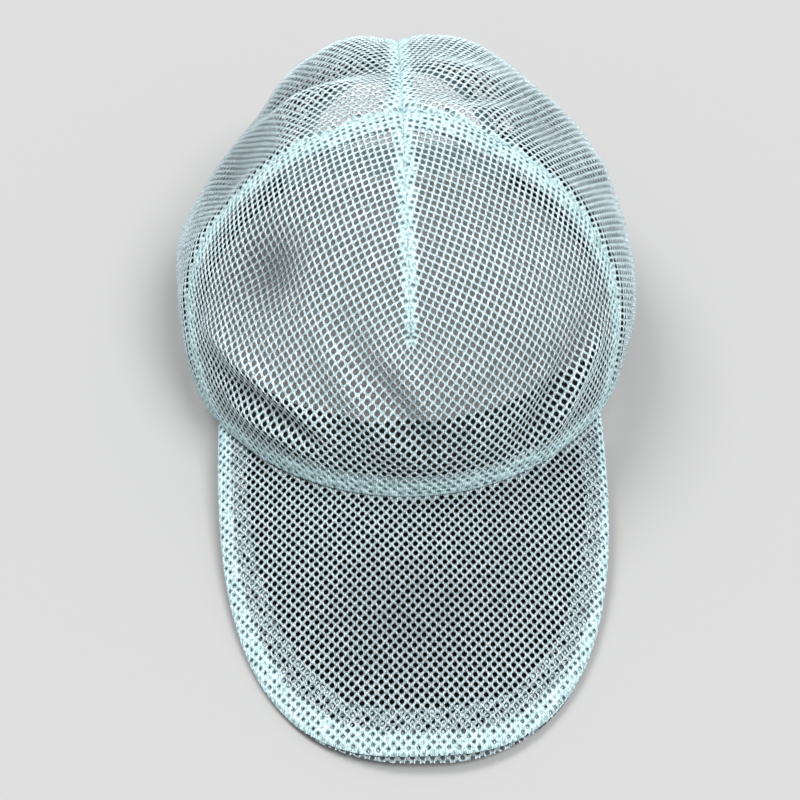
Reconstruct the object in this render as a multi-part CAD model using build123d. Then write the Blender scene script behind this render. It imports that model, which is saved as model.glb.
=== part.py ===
from build123d import *
import math
import os

os.makedirs("parts", exist_ok=True)

# Trucker mesh cap, millimetres.  The cap stands on its rim: the rim plane is Z = 0,
# the brim points to -Y, the wearer's right-hand side (seen from the front) is +X.
# The origin is the centre of the head opening.

# ---- crown -------------------------------------------------------------------------
CROWN_HALF_WIDTH = 85.0
CROWN_HALF_LENGTH = 101.0
CROWN_HEIGHT = 102.0
BULGE_Z = 22.0            # height of the widest level
APEX_BACK = 10.0          # the apex sits this far behind the middle
FABRIC = 0.9              # thickness of one layer of mesh
SEAM_GAP = 0.12           # half the slit left between two sewn panels
UNIT_R = 100.0            # the crown is drawn as a ball of this radius, then stretched

# ---- rim, seen from the side -------------------------------------------------------
HEM_FRONT_Y = -96.5
HEM_FRONT_Z = 20.0
HEM_CORNER_Y = -57.0
HEM_CORNER_Z = 14.0
RIM_RISE_START_Y = 2.0
RIM_SPARE = 0.05          # the rear pieces are cut this much long, then levelled at Z = 0

# ---- layers under the mesh ---------------------------------------------------------
TAPE_IN = 1.05
TAPE_OUT = 1.85
SEAM_TAPE_WIDTH = 10.0
HEM_TAPE_HEIGHT = 9.5
BACK_TAPE_HALF = 4.5
DART_TIP_Y = -73.0
DART_TIP_HALF = 1.5
DART_TOP_HALF = 3.6
DART_SLIT = 0.4
SWEAT_IN = 2.3
SWEAT_OUT = 3.7
SWEAT_HEIGHT = 30.0
SWEAT_END_X = 50.0

# ---- brim --------------------------------------------------------------------------
BRIM_SLOPE = 8.7          # degrees down towards the front
BRIM_LENGTH = 94.0
BRIM_HALF_WIDTH = 69.0
BRIM_CORNER_Y = -58.0
BRIM_ARCH_R = 205.0
BRIM_SHAPE = 2.65         # exponent of the outline: 2 is an ellipse, more is squarer
BRIM_TUCK = 1.0           # the brim reaches this far under the edge of the crown
UPPER_COVER = (0.0, 0.7)
ALLOWANCE = (0.8, 1.2)
BOARD = (1.3, 2.3)
LOWER_COVER = (2.4, 3.0)
ALLOWANCE_WIDTH = 8.0
BOARD_MARGIN = 1.6

# ---- rear opening and closure ------------------------------------------------------
OPENING_HALF = 39.0
OPENING_HEIGHT = 44.0
BINDING_WIDTH = 2.4       # the folded tape is rolled over the cut edge
OPENING_TRIM = 0.2        # space between the tape and the pieces it edges
STRAP_R = 150.0           # bend of the closed strap, seen from above
STRAP_CENTRE_Y = -65.2
STRAP_THICK = 1.2
STRAP_SPLIT = 0.1         # half the gap between the two overlapping halves
STRAP_Z0 = 3.5
STRAP_Z1 = 18.5
STRAP_TIP_X = 24.0
STRAP_HINGE_X = 36.9
STRAP_ROOT_X = 46.0
ROOT_CLEAR = 1.1          # space between the bend line and the sewn end
SNAP_PITCH = 9.5
PEG_R = 1.6
PEG_HEIGHT = 2.4
HOLE_R = 2.25


STRETCH_X = CROWN_HALF_WIDTH / UNIT_R
STRETCH_Y = CROWN_HALF_LENGTH / UNIT_R
STRETCH_Z = (CROWN_HEIGHT - BULGE_Z) / UNIT_R
LEAN = APEX_BACK / CROWN_HEIGHT
MEAN_STRETCH = 0.92       # turns a layer's depth in the cloth into depth in the ball


def ball_x(x):
    return x / STRETCH_X


def ball_y(y, z):
    """Where a side view point of the finished crown lies in the ball."""
    return (y - LEAN * z) / STRETCH_Y


def ball_z(z):
    return (z - BULGE_Z) / STRETCH_Z


def side_point(y, z):
    return (ball_y(y, z), ball_z(z))


def stretched(body):
    """Stretch a piece cut from the ball to the oval, slightly leaning crown."""
    return body.transform_geometry(Matrix([
        [STRETCH_X, 0.0, 0.0, 0.0],
        [0.0, STRETCH_Y, LEAN * STRETCH_Z, LEAN * BULGE_Z],
        [0.0, 0.0, STRETCH_Z, BULGE_Z],
    ]))


def levelled(body):
    """Trim a piece flat at the rim plane."""
    return body - Pos(0.0, 0.0, -10.0) * Box(400.0, 400.0, 20.0)


def ball(inset):
    return Sphere(UNIT_R - inset / MEAN_STRETCH)


def skin(outer, inner):
    return ball(outer) - ball(inner)


def side_region(edges):
    """A region drawn in the side view, carried across the whole width."""
    face = Plane.YZ * make_face(edges)
    return extrude(face, amount=130.0, both=True)


def below_rim(lift):
    """Everything under the rim line; lift raises the line."""
    grade = (HEM_FRONT_Z - HEM_CORNER_Z) / (HEM_FRONT_Y - HEM_CORNER_Y)
    front = side_point(-125.0, HEM_CORNER_Z + grade * (-125.0 - HEM_CORNER_Y) + lift)
    corner = side_point(HEM_CORNER_Y, HEM_CORNER_Z + lift)
    middle = side_point(-26.0, 5.6 + lift)
    start = side_point(RIM_RISE_START_Y, lift)
    back = side_point(140.0, lift)
    back_low = side_point(140.0, -80.0)
    front_low = side_point(-125.0, -80.0)
    return side_region([
        Line(front, corner),
        ThreePointArc(corner, middle, start),
        Line(start, back),
        Line(back, back_low),
        Line(back_low, front_low),
        Line(front_low, front),
    ])


def ahead_of_seam(shift):
    """The region in front of the side seams: one line from the apex to the rim."""
    top = side_point(9.0 + shift, 130.0)
    apex = side_point(8.2 + shift, 103.5)
    shoulder = side_point(0.5 + shift, 98.0)
    upper = side_point(-9.0 + shift, 75.5)
    middle = side_point(-22.0 + shift, 51.0)
    lower = side_point(-38.5 + shift, 31.8)
    corner = side_point(-57.5 + shift, 14.0)
    foot = side_point(-70.0 + shift, -20.0)
    low_front = side_point(-140.0, -20.0)
    high_front = side_point(-140.0, 130.0)
    return side_region([
        Line(top, apex),
        Line(apex, shoulder),
        ThreePointArc(shoulder, upper, middle),
        ThreePointArc(middle, lower, corner),
        Line(corner, foot),
        Line(foot, low_front),
        Line(low_front, high_front),
        Line(high_front, top),
    ])


def opening_region(extra):
    """The arched rear opening grown by extra, carried through the rear half."""
    half = ball_x(OPENING_HALF + extra)
    height = (OPENING_HEIGHT + extra) / STRETCH_Z
    oval = Plane((0.0, 0.0, ball_z(0.0)), x_dir=(1, 0, 0), z_dir=(0, 1, 0)) * Ellipse(half, height)
    return extrude(oval, amount=140.0)


def slab_x(x0, x1):
    """Everything between two X positions."""
    wide = ball_x(x1 - x0)
    return Pos(ball_x(0.5 * (x0 + x1)), 0.0, 0.0) * Box(wide, 320.0, 320.0)


def left_side(gap):
    return slab_x(-100.0, -gap)


def right_side(gap):
    return slab_x(gap, 100.0)


def brim_arch(depth, reach=200.0):
    """Solid cylinder under the brim's arched surface, depth below the top face."""
    bar = Rot(X=90.0) * Cylinder(BRIM_ARCH_R - depth, 2.0 * reach)
    bar = Pos(0.0, 0.0, -BRIM_ARCH_R) * bar
    return Pos(0.0, HEM_FRONT_Y, HEM_FRONT_Z) * Rot(X=BRIM_SLOPE) * bar


def brim_outline(margin):
    """Outline of the brim from above, pulled in by margin all round."""
    half = BRIM_HALF_WIDTH - margin
    reach = -(HEM_FRONT_Y - BRIM_LENGTH) + BRIM_CORNER_Y - margin
    points = []
    for k in range(0, 25):
        a = math.pi * k / 24.0
        c = math.cos(a)
        x = math.copysign(half * abs(c) ** (2.0 / BRIM_SHAPE), c)
        y = BRIM_CORNER_Y - reach * math.sin(a) ** (2.0 / BRIM_SHAPE)
        points.append((x, y))
    points[0] = (half, BRIM_CORNER_Y)
    points[-1] = (-half, BRIM_CORNER_Y)
    rim = Spline(*points, tangents=[(0.0, -1.0), (0.0, 1.0)])
    back = Line(points[-1], points[0])
    return Pos(0.0, 0.0, -30.0) * extrude(make_face([rim, back]), amount=100.0)


def brim_layer(span, margin):
    plate = brim_arch(span[0]) - brim_arch(span[1], reach=220.0)
    plate = plate & (brim_outline(margin) - stretched(ball(BRIM_TUCK)))
    return plate


def strap_band(r_in, r_out, x0, x1):
    """A length of the closure strap between two X positions."""
    ring = Cylinder(r_out, STRAP_Z1 - STRAP_Z0) - Cylinder(r_in, 40.0)
    ring = Pos(0.0, STRAP_CENTRE_Y, 0.5 * (STRAP_Z0 + STRAP_Z1)) * ring
    window = Pos(0.5 * (x0 + x1), 80.0, 10.0) * Box(x1 - x0, 60.0, 40.0)
    return ring & window


def on_strap(r, x):
    return STRAP_CENTRE_Y + math.sqrt(r * r - x * x)


def strap_half(r_in, sign, x_tip):
    """A free half from its bend line to its rounded tip."""
    r_out = r_in + STRAP_THICK
    hinge_x = sign * STRAP_HINGE_X
    band = strap_band(r_in, r_out, min(hinge_x, x_tip), max(hinge_x, x_tip))
    height = STRAP_Z1 - STRAP_Z0
    mid_z = 0.5 * (STRAP_Z0 + STRAP_Z1)
    barrel = Cylinder(0.5 * STRAP_THICK, height)
    barrel = Pos(hinge_x, on_strap(0.5 * (r_in + r_out), hinge_x), mid_z) * barrel
    nose = Rot(X=90.0) * Cylinder(0.5 * height, 80.0)
    nose = Pos(x_tip + sign * 0.5 * height, 80.0, mid_z) * nose
    stem_x = 0.5 * (x_tip + sign * (0.5 * height) + sign * 60.0)
    stem = Pos(stem_x, 80.0, mid_z) * Box(abs(sign * 60.0 - x_tip - sign * 0.5 * height), 80.0, 40.0)
    return (band & (nose + stem)) + barrel


def snap_positions(first, last):
    count = int(round((last - first) / SNAP_PITCH)) + 1
    return [first + SNAP_PITCH * k for k in range(count)]


def save(node, part):
    solids = part.solids()
    shape = solids[0] if len(solids) == 1 else Compound(children=list(solids))
    export_step(shape, "parts/" + node + ".step")
    box = shape.bounding_box()
    print(f"{node:22s} solids {len(solids)} vol {shape.volume:9.1f} "
          f"x {box.min.X:7.1f} {box.max.X:6.1f} y {box.min.Y:7.1f} {box.max.Y:6.1f} "
          f"z {box.min.Z:6.2f} {box.max.Z:6.2f}")


def crown_panels():
    cloth = skin(0.0, FABRIC) - below_rim(0.3)
    front = cloth & ahead_of_seam(-SEAM_GAP)
    slit_length = (APEX_BACK - DART_TIP_Y) / STRETCH_Y
    slit_middle = 0.5 * (APEX_BACK + DART_TIP_Y) / STRETCH_Y
    slit = Pos(0.0, slit_middle - 4.0, 100.0) * Box(DART_SLIT, slit_length + 10.0, 110.0)
    save("front_panel", stretched(front - slit))
    cloth = skin(0.0, FABRIC) - below_rim(-RIM_SPARE)
    rear = cloth - ahead_of_seam(SEAM_GAP)
    rear = rear - opening_region(BINDING_WIDTH + OPENING_TRIM)
    save("rear_left_panel", levelled(stretched(rear & left_side(SEAM_GAP))))
    save("rear_right_panel", levelled(stretched(rear & right_side(SEAM_GAP))))


def seam_tapes():
    layer = skin(TAPE_IN, TAPE_OUT) - opening_region(BINDING_WIDTH + OPENING_TRIM)
    hem = (layer & below_rim(HEM_TAPE_HEIGHT)) - below_rim(0.3)
    save("rim_tape", stretched(hem))
    upper = layer - below_rim(HEM_TAPE_HEIGHT + 0.3)
    side = (upper & ahead_of_seam(1.0)) - ahead_of_seam(-SEAM_TAPE_WIDTH)
    save("side_seam_tape_left", stretched(side & left_side(0.15)))
    save("side_seam_tape_right", stretched(side & right_side(0.15)))
    back = (upper - ahead_of_seam(1.3)) & slab_x(-BACK_TAPE_HALF, BACK_TAPE_HALF)
    save("back_seam_tape", stretched(back))
    tip_y = DART_TIP_Y - 4.0
    wedge = Polygon(
        (-ball_x(DART_TOP_HALF), APEX_BACK),
        (-ball_x(DART_TIP_HALF), ball_y(tip_y, 72.0)),
        (ball_x(DART_TIP_HALF), ball_y(tip_y, 72.0)),
        (ball_x(DART_TOP_HALF), APEX_BACK),
        align=None,
    )
    dart = upper & (Pos(0.0, 0.0, 40.0) * extrude(wedge, amount=80.0))
    save("front_dart_tape", stretched(dart & ahead_of_seam(-SEAM_TAPE_WIDTH - 0.3)))


def sweatband():
    band = (skin(SWEAT_IN, SWEAT_OUT) & below_rim(SWEAT_HEIGHT)) - below_rim(0.6)
    rear_gap = slab_x(-SWEAT_END_X, SWEAT_END_X) & (Pos(0.0, 100.0, 0.0) * Box(400.0, 200.0, 400.0))
    save("sweatband", stretched(band - rear_gap))


def opening_binding():
    roll = skin(-0.75, 1.65) & (opening_region(BINDING_WIDTH) - opening_region(0.0))
    save("opening_binding", levelled(stretched(roll - below_rim(-RIM_SPARE))))


def brim():
    save("brim_upper_cover", brim_layer(UPPER_COVER, 0.0))
    save("brim_lower_cover", brim_layer(LOWER_COVER, 0.0))
    save("brim_board", brim_layer(BOARD, BOARD_MARGIN))
    ring = brim_layer(ALLOWANCE, 0.4)
    save("brim_seam_allowance", ring - brim_outline(ALLOWANCE_WIDTH))


def closure():
    outer_r = STRAP_R + STRAP_SPLIT
    inner_r = STRAP_R - STRAP_SPLIT - STRAP_THICK
    mid_z = 0.5 * (STRAP_Z0 + STRAP_Z1)
    holes_half = strap_half(outer_r, 1, -STRAP_TIP_X)
    for x in snap_positions(-19.0, 28.5):
        aim = math.degrees(math.asin(x / STRAP_R))
        drill = Rot(Z=-aim) * Pos(0.0, STRAP_R, 0.0) * Rot(X=90.0) * Cylinder(HOLE_R, 12.0)
        holes_half = holes_half - (Pos(0.0, STRAP_CENTRE_Y, mid_z) * drill)
    save("strap_hole_half", holes_half)
    pegs_half = strap_half(inner_r, -1, STRAP_TIP_X)
    face_r = inner_r + STRAP_THICK
    for x in snap_positions(-28.5, 19.0):
        aim = math.degrees(math.asin(x / STRAP_R))
        peg = Rot(X=90.0) * Cylinder(PEG_R, PEG_HEIGHT + 0.6)
        peg = Rot(Z=-aim) * Pos(0.0, face_r + 0.5 * PEG_HEIGHT - 0.3, 0.0) * peg
        pegs_half = pegs_half + (Pos(0.0, STRAP_CENTRE_Y, mid_z) * peg)
    save("strap_peg_half", pegs_half)
    start = STRAP_HINGE_X + ROOT_CLEAR
    right = strap_band(outer_r, outer_r + STRAP_THICK, start, STRAP_ROOT_X)
    save("strap_root_right", right)
    left = strap_band(inner_r, inner_r + STRAP_THICK, -STRAP_ROOT_X, -start)
    save("strap_root_left", left)


crown_panels()
seam_tapes()
sweatband()
opening_binding()
brim()
closure()
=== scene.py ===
import bpy
import math
import numpy as np
from mathutils import Matrix, Vector
from mathutils.bvhtree import BVHTree


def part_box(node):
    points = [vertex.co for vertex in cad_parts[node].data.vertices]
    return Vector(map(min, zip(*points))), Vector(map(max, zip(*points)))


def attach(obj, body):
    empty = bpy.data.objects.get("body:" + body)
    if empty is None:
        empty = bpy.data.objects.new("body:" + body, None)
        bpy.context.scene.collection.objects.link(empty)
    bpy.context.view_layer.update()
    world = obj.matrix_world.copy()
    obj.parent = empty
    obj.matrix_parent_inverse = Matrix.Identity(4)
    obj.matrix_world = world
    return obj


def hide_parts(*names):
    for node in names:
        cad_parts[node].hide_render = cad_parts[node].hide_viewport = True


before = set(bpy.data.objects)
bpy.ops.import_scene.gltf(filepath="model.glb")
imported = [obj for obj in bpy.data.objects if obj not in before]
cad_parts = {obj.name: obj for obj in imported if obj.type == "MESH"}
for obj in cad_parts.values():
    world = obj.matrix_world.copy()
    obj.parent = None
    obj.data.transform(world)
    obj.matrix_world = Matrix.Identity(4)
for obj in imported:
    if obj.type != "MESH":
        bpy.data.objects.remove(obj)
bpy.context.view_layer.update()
MM = 0.001
rng = np.random.default_rng(7)

# A soft trucker cap of open mesh, standing on its rim.  Lengths are in millimetres until
# new_object() turns them into metres.  +Z is up and the brim points to -Y.


def cad_corners(node):
    """Lowest and highest corner of a CAD node, in millimetres."""
    low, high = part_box(node)
    return np.array(low) / MM, np.array(high) / MM


REAR_HIGH = cad_corners("rear_right_panel")[1]
COVER_LOW, COVER_HIGH = cad_corners("brim_upper_cover")
BINDING_HIGH = cad_corners("opening_binding")[1]

# ---- the crown: a ball, stretched to the CAD's oval dome and leaning back ---------------
BALL_R = 100.0
BULGE_Z = 22.0
STRETCH = np.array([REAR_HIGH[0] / BALL_R, 1.01, (REAR_HIGH[2] - BULGE_Z) / BALL_R])
LEAN = 10.0 / REAR_HIGH[2]
AXES = np.array([[STRETCH[0], 0, 0], [0, STRETCH[1], LEAN * STRETCH[2]], [0, 0, STRETCH[2]]])
CENTRE = np.array([0.0, LEAN * BULGE_Z, BULGE_Z])
AXES_INV = np.linalg.inv(AXES)
HEM_Y, HEM_Z = -96.5, 20.0
CORNER_Y, CORNER_Z = -57.0, 14.0
BINDING_WIDTH = 2.4
OPEN_HALF, OPEN_HEIGHT = BINDING_HIGH[0] - BINDING_WIDTH, BINDING_HIGH[2] - BINDING_WIDTH

# ---- the brim: a sheet bent on a cylinder that slopes down to the front ----------------
SLOPE = math.radians(8.7)
ARCH_R = 205.0
BRIM_HALF, BRIM_BACK_Y, BRIM_TIP_Y = COVER_HIGH[0], COVER_HIGH[1], COVER_LOW[1]
BRIM_POWER = 2.65          # exponent of the outline: 2 is an ellipse, more is squarer

# ---- the mesh: staggered rows of round holes -------------------------------------------
PITCH_X, PITCH_Y, HOLE_R = 3.2, 3.55, 0.76
CROWN_HALF_THICK, BRIM_HALF_THICK = 0.40, 0.34


def unit(v):
    return v / np.linalg.norm(v, axis=-1, keepdims=True)


def to_ball(p):
    return unit((p - CENTRE) @ AXES_INV.T)


def base_point(n):
    return BALL_R * n @ AXES.T + CENTRE


def base_normal(n):
    return unit(n @ AXES_INV)


def rim_height(y):
    """Height of the crown's lower edge, from the side."""
    y = np.asarray(y, float)
    straight = CORNER_Z + (HEM_Z - CORNER_Z) * (y - CORNER_Y) / (HEM_Y - CORNER_Y)
    t = np.clip((y - CORNER_Y) / (2.0 - CORNER_Y), 0, 1)
    curve = CORNER_Z * (1 - t) ** 1.25
    return np.where(y < CORNER_Y, straight, curve)


# How far forward the side seams run at each height.
SEAM_Z = np.array([-20, 14, 23, 31.8, 41, 51, 63, 75.5, 87, 98, 101.2, 103.5, 130.0])
SEAM_Y = np.array([-70, -57.5, -48.2, -38.5, -30, -22, -14.8, -9, -4.8, 0.5, 4.8, 8.2, 9.0])
TWIST, TWIST_HEIGHT = 6.5, 84.0


def seam_y(z, side):
    """The side seams; the crown sits a little twisted on its brim, so they differ."""
    y = np.interp(z, SEAM_Z, SEAM_Y)
    t = np.clip((np.asarray(z, float) - CORNER_Z) / TWIST_HEIGHT, 0, 1)
    return y - side * TWIST * np.sin(math.pi * t) ** 0.8


def on_dome(y, z, side):
    """Point of the dome at this height and depth on the left (-1) or right (+1)."""
    zu = (z - BULGE_Z) / (STRETCH[2] * BALL_R)
    yu = (y - LEAN * z) / (STRETCH[1] * BALL_R)
    x = STRETCH[0] * BALL_R * np.sqrt(np.maximum(1 - zu ** 2 - yu ** 2, 0))
    return np.stack([side * x, y + 0 * z, z + 0 * y], -1)


def resample(points, count):
    """The same polyline with evenly spaced points."""
    step = np.linalg.norm(np.diff(points, axis=0), axis=1)
    s = np.concatenate([[0], np.cumsum(step)])
    t = np.linspace(0, s[-1], count)
    return np.stack([np.interp(t, s, points[:, k]) for k in range(points.shape[1])], -1)


APEX = np.array([0.0, 8.2, 101.98])


def seam_line(side, count=90):
    """A side seam, from the rim's corner up to the apex."""
    z = np.linspace(CORNER_Z + 0.2, APEX[2] - 0.38, 400)
    p = np.vstack([on_dome(seam_y(z, side), z, side), APEX])
    return resample(p, count)


SEAM = {-1: seam_line(-1), 1: seam_line(1)}


def rim_line(a0, a1, count):
    """The lower edge between two plan angles, measured from the front."""
    out = []
    for a in np.linspace(a0, a1, count):
        z = 15.0
        for _ in range(30):
            zu = (z - BULGE_Z) / (STRETCH[2] * BALL_R)
            c = math.sqrt(1 - zu * zu)
            n = np.array([c * math.sin(a), -c * math.cos(a), zu])
            p = base_point(n)
            z = 0.5 * z + 0.5 * float(rim_height(p[1]))
        out.append(p)
    return np.array(out)


def plan_angle(p):
    """Angle of a point seen from above, from the front towards +X."""
    n = to_ball(p)
    return math.atan2(n[0], -n[1])


def distance_to_line(points, line):
    """Distance to a polyline and how far along it (0 to 1) the nearest point is."""
    best = np.full(len(points), 1e9)
    along = np.zeros(len(points))
    count = len(line) - 1
    for k in range(count):
        a, b = line[k], line[k + 1]
        ab = b - a
        t = np.clip(((points - a) @ ab) / max(ab @ ab, 1e-9), 0, 1)
        d = np.linalg.norm(points - a - t[:, None] * ab, axis=1)
        nearer = d < best
        best = np.where(nearer, d, best)
        along = np.where(nearer, (k + t) / count, along)
    return best, along


DART_TIP = base_point(to_ball(np.array([[-0.0, -74.5, 69.5]])))[0]
DART = np.array([APEX, [0, -20, 98.0], [0, -45, 89.5], [0, -62, 79.5], DART_TIP])
DART = base_point(to_ball(DART))
BACK = base_point(to_ball(np.array([APEX, [0, 40, 99], [0, 70, 85], [0, 92, 60], [0, 100, 44]])))

# Folds of the soft cloth: points of the crest or valley line, height, width.
FOLDS = [
    # down the middle of the front, from the left of the dart's tip to the hem
    ([[-22, -68, 71], [-14, -79, 63], [-4, -88, 53], [5, -94, 40]], -3.4, 5.0),
    ([[-31, -66, 70], [-23, -78, 60], [-13, -88, 49], [-3, -95, 36]], 2.6, 5.5),
    ([[-8, -72, 70], [0, -82, 60], [9, -91, 48]], 2.0, 5.0),
    # across the left of the front, from the side seam towards the hem
    ([[-69, -44, 48], [-55, -65, 49], [-38, -81, 46], [-28, -89, 40]], 2.8, 4.6),
    ([[-66, -54, 40], [-50, -73, 41], [-34, -86, 38]], -2.4, 4.5),
    ([[-63, -64, 33], [-45, -80, 34], [-28, -91, 30]], 2.0, 4.0),
    # down the right of the front
    ([[66, -49, 48], [56, -69, 39], [44, -84, 24]], 2.8, 4.5),
    ([[60, -52, 54], [49, -71, 45], [36, -87, 32]], -2.6, 5.0),
    # behind the left side seam, up to the apex
    ([[-54, 33, 80], [-36, 27, 93], [-18, 22, 99], [-6, 17, 102]], 2.4, 6.0),
    ([[-54, 46, 74], [-36, 42, 87], [-18, 37, 95], [-5, 33, 99]], -3.4, 6.5),
    ([[-40, 62, 70], [-22, 62, 84], [-10, 60, 90]], 2.6, 11.0),
    # behind the right side seam, out from the apex
    ([[7, 10, 102], [20, 7, 99], [30, 10, 96], [43, 22, 88]], 2.1, 4.6),
    ([[9, 22, 101], [22, 18, 98], [34, 24, 92]], -2.6, 6.0),
    ([[8, 34, 99], [22, 33, 95], [36, 38, 86]], 1.8, 6.5),
    ([[10, 60, 90], [24, 62, 83], [42, 60, 68]], 2.6, 11.0),
    ([[60, -2, 77], [70, 8, 62], [76, 12, 46]], -1.6, 6.0),
    ([[52, 4, 84], [66, 20, 66], [74, 28, 48]], 1.6, 6.5),
    # the sides and the back
    ([[-80, -8, 30], [-82, 14, 34], [-80, 34, 30]], 1.5, 6.0),
    ([[-76, 20, 50], [-66, 50, 46], [-50, 76, 38]], -1.4, 8.0),
    ([[76, 20, 50], [66, 50, 46], [50, 76, 38]], -1.4, 8.0),
    ([[60, 62, 32], [40, 82, 58], [20, 90, 62]], 1.4, 8.0),
]
# Round hollows (negative) and swells of the cloth: centre, height, width.
DENTS = [
    ([-49, -42, 75], -5.0, 12.0),
    ([-61, 16, 73], -7.0, 24.0),
    ([-66, 57, 52], -8.0, 24.0),
    ([46, 72, 60], -3.5, 22.0),
    ([-38, 48, 80], -5.5, 20.0),
    ([54, 22, 80], -4.4, 20.0),
    ([0, -93, 42], 1.6, 24.0),
    ([38, -60, 72], 1.4, 22.0),
    ([-30, -20, 94], 1.2, 18.0),
    ([78, -18, 34], 1.6, 16.0),
]


def cloth_rise(p):
    """How far the cloth stands off the smooth dome, along its normal."""
    d = np.zeros(len(p))
    for line, height, width in FOLDS:
        line = np.array(line, float)
        dist, along = distance_to_line(p, line)
        fade = np.clip(np.sin(math.pi * np.clip(0.08 + 0.84 * along, 0, 1)), 0, 1) ** 0.8
        d += height * fade * np.exp(-(dist / width) ** 2)
    for centre, height, width in DENTS:
        r = np.linalg.norm(p - np.array(centre), axis=1)
        d += height * np.exp(-(r / width) ** 2)
    # the stitched seams lie in a groove between low ridges
    for side in (-1, 1):
        r, _ = distance_to_line(p, SEAM[side])
        d += -0.75 * np.exp(-(r / 1.5) ** 2) + 0.35 * np.exp(-((r - 4.5) / 3.0) ** 2)
    r, along = distance_to_line(p, DART)
    d += -0.8 * np.exp(-(r / 1.3) ** 2) * np.clip(1.15 - along, 0, 1)
    d += -1.6 * np.exp(-(np.linalg.norm(p - DART_TIP, axis=1) / 5.0) ** 2)
    r, along = distance_to_line(p, BACK)
    d += -0.8 * np.exp(-(r / 1.4) ** 2)
    d += -2.6 * np.exp(-(r / 8.0) ** 2) * np.exp(-((along - 0.45) / 0.4) ** 2)
    # a slight unevenness all over, which dies out at the stiff rim
    x, y, z = p.T
    slow = np.sin(x * 0.083 + z * 0.05 + 1.3) * np.sin(y * 0.071 - z * 0.062)
    quick = np.sin(x * 0.21 - y * 0.13 + 0.4) * np.sin(z * 0.19 + y * 0.11)
    d += 0.55 * slow + 0.22 * quick
    near_rim = np.clip((p[:, 2] - rim_height(p[:, 1])) / 16.0, 0, 1)
    return d * (0.15 + 0.85 * near_rim)


def in_bands(p, front):
    """How deep a point lies in the doubled cloth beside seams and rim: below 0 is outside."""
    depth = np.full(len(p), -1.0)
    for side in (-1, 1):
        r, _ = distance_to_line(p, SEAM[side])
        width = 8.6 if front else 1.8
        depth = np.maximum(depth, 1 - r / width)
    if front:
        r, along = distance_to_line(p, DART)
        dart = 1 - r / (4.4 - 2.2 * along)
        depth = np.maximum(depth, np.where(along < 0.995, dart, -1.0))
    else:
        r, _ = distance_to_line(p, BACK)
        depth = np.maximum(depth, 1 - r / 4.6)
    rise = p[:, 2] - rim_height(p[:, 1])
    depth = np.maximum(depth, 1 - rise / (7.6 if front else 8.6))
    r = np.linalg.norm(p - APEX, axis=1)
    return np.maximum(depth, 1 - r / 8.0)


def band_hole_size(depth, seed):
    """Hole sizes: 1 in single cloth, about half over doubled cloth, where a fifth are shut."""
    r = np.random.default_rng(seed)
    rough = depth + 0.07 * r.standard_normal(len(depth))
    size = np.where(rough > 0.0, 0.44 + 0.12 * r.standard_normal(len(depth)), 1.0)
    shut = (rough > 0.06) & (r.random(len(depth)) < 0.22)
    return np.where(shut, 0.0, np.clip(size, 0.3, 1.0))


def crown_painted_shade(p):
    """Painted shade held in the colour: hollows, the deep dent, the front over the hem, low sides;
    ridges a little lighter.
    """
    tone = 1.0 + 0.055 * cloth_rise(p)
    tone *= 1 - 0.42 * np.exp(-(np.linalg.norm(p - [-49, -43, 75], axis=1) / 13) ** 2)
    tone *= 1 - 0.20 * np.exp(-(np.linalg.norm(p - [2, -95, 42], axis=1) / 26) ** 2)
    low = np.clip((40 - p[:, 2]) / 40, 0, 1) * np.clip(np.abs(p[:, 0]) / 60, 0, 1)
    return np.clip(tone * (1 - 0.25 * low), 0.4, 1.12)


def crown(n, lift):
    """The draped crown: ball directions to points, lift above the cloth's outer face."""
    p = base_point(n)
    return p + base_normal(n) * (cloth_rise(p) + lift)[:, None]


# ---- mesh building ------------------------------------------------------------------------
def new_object(name, verts, faces, material, stands_for, slot, loops_uv=None, point_values=None):
    """A smooth piece that rides on the cap and stands for CAD nodes; verts in millimetres."""
    mesh = bpy.data.meshes.new(name)
    mesh.from_pydata([tuple(v) for v in (np.asarray(verts) * MM)], [], faces)
    for layer_name, uv in (loops_uv or {}).items():
        layer = mesh.uv_layers.new(name=layer_name)
        layer.data.foreach_set("uv", np.asarray(uv, np.float32).ravel())
    for attribute_name, values in (point_values or {}).items():
        a = mesh.attributes.new(attribute_name, "FLOAT", "POINT")
        a.data.foreach_set("value", np.asarray(values, np.float32))
    mesh.polygons.foreach_set("use_smooth", [True] * len(mesh.polygons))
    mesh.materials.append(material)
    mesh.update()
    obj = bpy.data.objects.new(name, mesh)
    bpy.context.scene.collection.objects.link(obj)
    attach(obj, "cap")
    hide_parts(*stands_for)


def signed_distance(points, poly):
    """Positive inside the closed polygon; also the nearest point of its outline."""
    best = np.full(len(points), 1e9)
    near = np.zeros((len(points), 2))
    inside = np.zeros(len(points), bool)
    for p0, p1 in zip(poly, np.roll(poly, -1, axis=0)):
        e = p1 - p0
        t = np.clip(((points - p0) @ e) / max(e @ e, 1e-12), 0, 1)
        q = p0 + t[:, None] * e
        d = np.hypot(*(points - q).T)
        closer = d < best
        best = np.where(closer, d, best)
        near[closer] = q[closer]
        crosses = (p0[1] > points[:, 1]) != (p1[1] > points[:, 1])
        if crosses.any():
            x = p0[0] + (points[:, 1] - p0[1]) * e[0] / (e[1] if abs(e[1]) > 1e-12 else 1e-12)
            inside ^= crosses & (points[:, 0] < x)
    return np.where(inside, best, -best), near


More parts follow.
